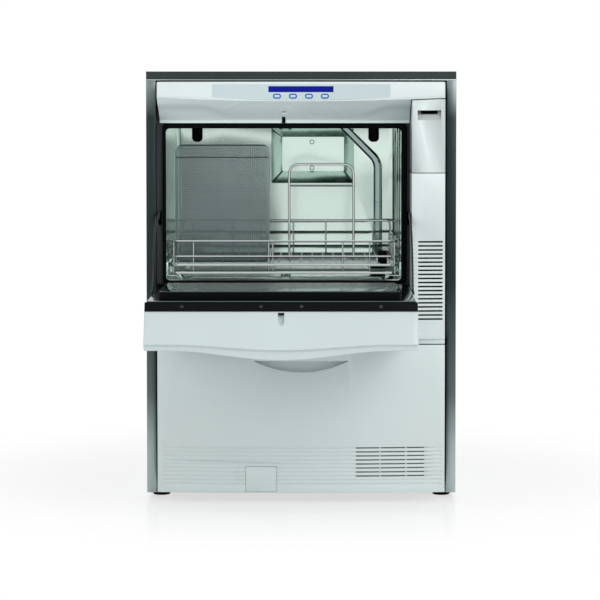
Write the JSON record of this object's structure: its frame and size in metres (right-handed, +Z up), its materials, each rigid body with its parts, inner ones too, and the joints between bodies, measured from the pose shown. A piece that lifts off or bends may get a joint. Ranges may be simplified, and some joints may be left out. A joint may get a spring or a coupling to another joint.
{
  "type": "thermal washer-disinfector",
  "caption": "Under-counter thermal washer-disinfector for instruments: open fold-down door, wire rack with cassette, spray arms, control fascia, louvred side column and pull-out service drawer.",
  "frame": {"origin": "centre of the cabinet's footprint, on the floor", "axes": "+X to the right seen from the front, +Y towards the back, +Z up"},
  "size_m": [0.6, 1.052, 0.828],
  "materials": {
    "lid_steel": "brushed, dark",
    "side_steel": "brushed",
    "chamber_steel": "polished",
    "liner_steel": "satin",
    "wire_steel": "polished",
    "strap_steel": "dark satin",
    "zinc_steel": "zinc coated",
    "white_plastic": "satin white",
    "label_film": "pale blue film",
    "display_glass": "blue display",
    "button_plastic": "blue",
    "seal_rubber": "black rubber",
    "black_plastic": "black",
    "grey_plastic": "grey",
    "pump_plastic": "dark moulded",
    "hose_rubber": "black hose",
    "tank_plastic": "natural",
    "brass": "turned",
    "board_green": "lacquered board",
    "filter_paper": "pleated"
  },
  "bodies": {
    "cabinet": {"base_pan": "zinc_steel", "feet": "black_plastic", "left_side_panel": "side_steel", "right_side_panel": "side_steel", "top_lid": "lid_steel", "rear_panel": "zinc_steel", "front_bulkhead": "black_plastic", "crossbar": "white_plastic", "hinge_brackets": "zinc_steel", "control_fascia": "white_plastic", "fascia_label": "label_film", "display_module": "display_glass", "door_lock": "black_plastic", "column_upper_cover": "white_plastic", "card_reader": "black_plastic", "column_lower_cover": "white_plastic", "controller_board": "board_green", "chamber_tub": "chamber_steel", "mouth_gasket": "seal_rubber", "rack_rails": "chamber_steel", "sump_pot": "chamber_steel", "sump_filter": "chamber_steel", "heater_coil": "zinc_steel", "feed_pipe": "grey_plastic", "circulation_pump": "pump_plastic", "suction_hose": "hose_rubber", "drain_pump": "pump_plastic", "blower_housing": "pump_plastic", "air_filter": "filter_paper", "water_softener": "tank_plastic", "dosing_pumps": "grey_plastic", "inlet_valves": "brass", "mains_gland": "black_plastic", "drawer_runners": "zinc_steel"},
    "door": {"door_outer_panel": "white_plastic", "door_inner_pan": "liner_steel", "door_pan_seal": "seal_rubber", "door_edge_strip": "black_plastic", "door_edge_screws": "wire_steel", "latch_keeper": "zinc_steel", "door_check_straps": "strap_steel"},
    "rack": {"rack_frame": "wire_steel", "basket_wires": "wire_steel", "cassette_tray": "chamber_steel", "holder_arch": "wire_steel"},
    "front_roller_pair": {"front_rollers": "grey_plastic"},
    "rear_roller_pair": {"rear_rollers": "grey_plastic"},
    "drawer": {"drawer_front": "white_plastic", "drawer_tray": "zinc_steel", "dosing_bottles": "tank_plastic"},
    "flap": {"service_flap": "white_plastic"},
    "lower_arm": {"lower_spray_arm": "chamber_steel"},
    "upper_arm": {"upper_spray_arm": "chamber_steel"},
    "impeller": {"pump_impeller": "grey_plastic"},
    "blower_rotor": {"blower_wheel": "grey_plastic"},
    "bolt": {"lock_bolt": "black_plastic"},
    "key_1": {"button_1": "button_plastic"},
    "key_2": {"button_2": "button_plastic"},
    "key_3": {"button_3": "button_plastic"},
    "key_4": {"button_4": "button_plastic"}
  },
  "joints": [
    {"name": "door_hinge", "type": "hinge", "parent": "cabinet", "child": "door", "pos_m": [-0.032, -0.3135, 0.3675], "axis": [-1, 0, 0], "range_deg": [0, 90]},
    {"name": "rack_slide", "type": "slide", "parent": "cabinet", "child": "rack", "axis": [0, 1, 0], "range_m": [-0.33, 0]},
    {"name": "front_roller_spin", "type": "hinge", "parent": "rack", "child": "front_roller_pair", "pos_m": [-0.034, -0.205, 0.4383], "axis": [-1, 0, 0], "range_deg": [-2370, 0]},
    {"name": "rear_roller_spin", "type": "hinge", "parent": "rack", "child": "rear_roller_pair", "pos_m": [-0.034, 0.145, 0.4383], "axis": [-1, 0, 0], "range_deg": [-2370, 0]},
    {"name": "drawer_slide", "type": "slide", "parent": "cabinet", "child": "drawer", "axis": [0, -1, 0], "range_m": [0, 0.3]},
    {"name": "flap_hinge", "type": "hinge", "parent": "drawer", "child": "flap", "pos_m": [-0.0765, -0.36918, 0.065], "axis": [-1, 0, 0], "range_deg": [0, 80]},
    {"name": "lock_bolt_slide", "type": "slide", "parent": "cabinet", "child": "bolt", "axis": [0, 0, -1], "range_m": [0, 0.009]},
    {"name": "lower_arm_spin", "type": "hinge", "parent": "cabinet", "child": "lower_arm", "pos_m": [-0.034, -0.018, 0.409], "axis": [0, 0, 1], "continuous": true},
    {"name": "upper_arm_spin", "type": "hinge", "parent": "cabinet", "child": "upper_arm", "pos_m": [-0.034, -0.018, 0.726], "axis": [0, 0, 1], "continuous": true},
    {"name": "impeller_spin", "type": "hinge", "parent": "cabinet", "child": "impeller", "pos_m": [-0.034, 0.14, 0.15], "axis": [0, 1, 0], "continuous": true},
    {"name": "blower_spin", "type": "hinge", "parent": "cabinet", "child": "blower_rotor", "pos_m": [-0.19, 0.15, 0.16], "axis": [0, 1, 0], "continuous": true},
    {"name": "button_1_press", "type": "slide", "parent": "cabinet", "child": "key_1", "axis": [0, 1, 0], "range_m": [0, 0.001], "stiffness_N_per_m": 400},
    {"name": "button_2_press", "type": "slide", "parent": "cabinet", "child": "key_2", "axis": [0, 1, 0], "range_m": [0, 0.001], "stiffness_N_per_m": 400},
    {"name": "button_3_press", "type": "slide", "parent": "cabinet", "child": "key_3", "axis": [0, 1, 0], "range_m": [0, 0.001], "stiffness_N_per_m": 400},
    {"name": "button_4_press", "type": "slide", "parent": "cabinet", "child": "key_4", "axis": [0, 1, 0], "range_m": [0, 0.001], "stiffness_N_per_m": 400}
  ],
  "couplings": [
    {"joint": "front_roller_spin", "follows": "rack_slide", "rad_per_m": 125},
    {"joint": "rear_roller_spin", "follows": "rack_slide", "rad_per_m": 125}
  ]
}
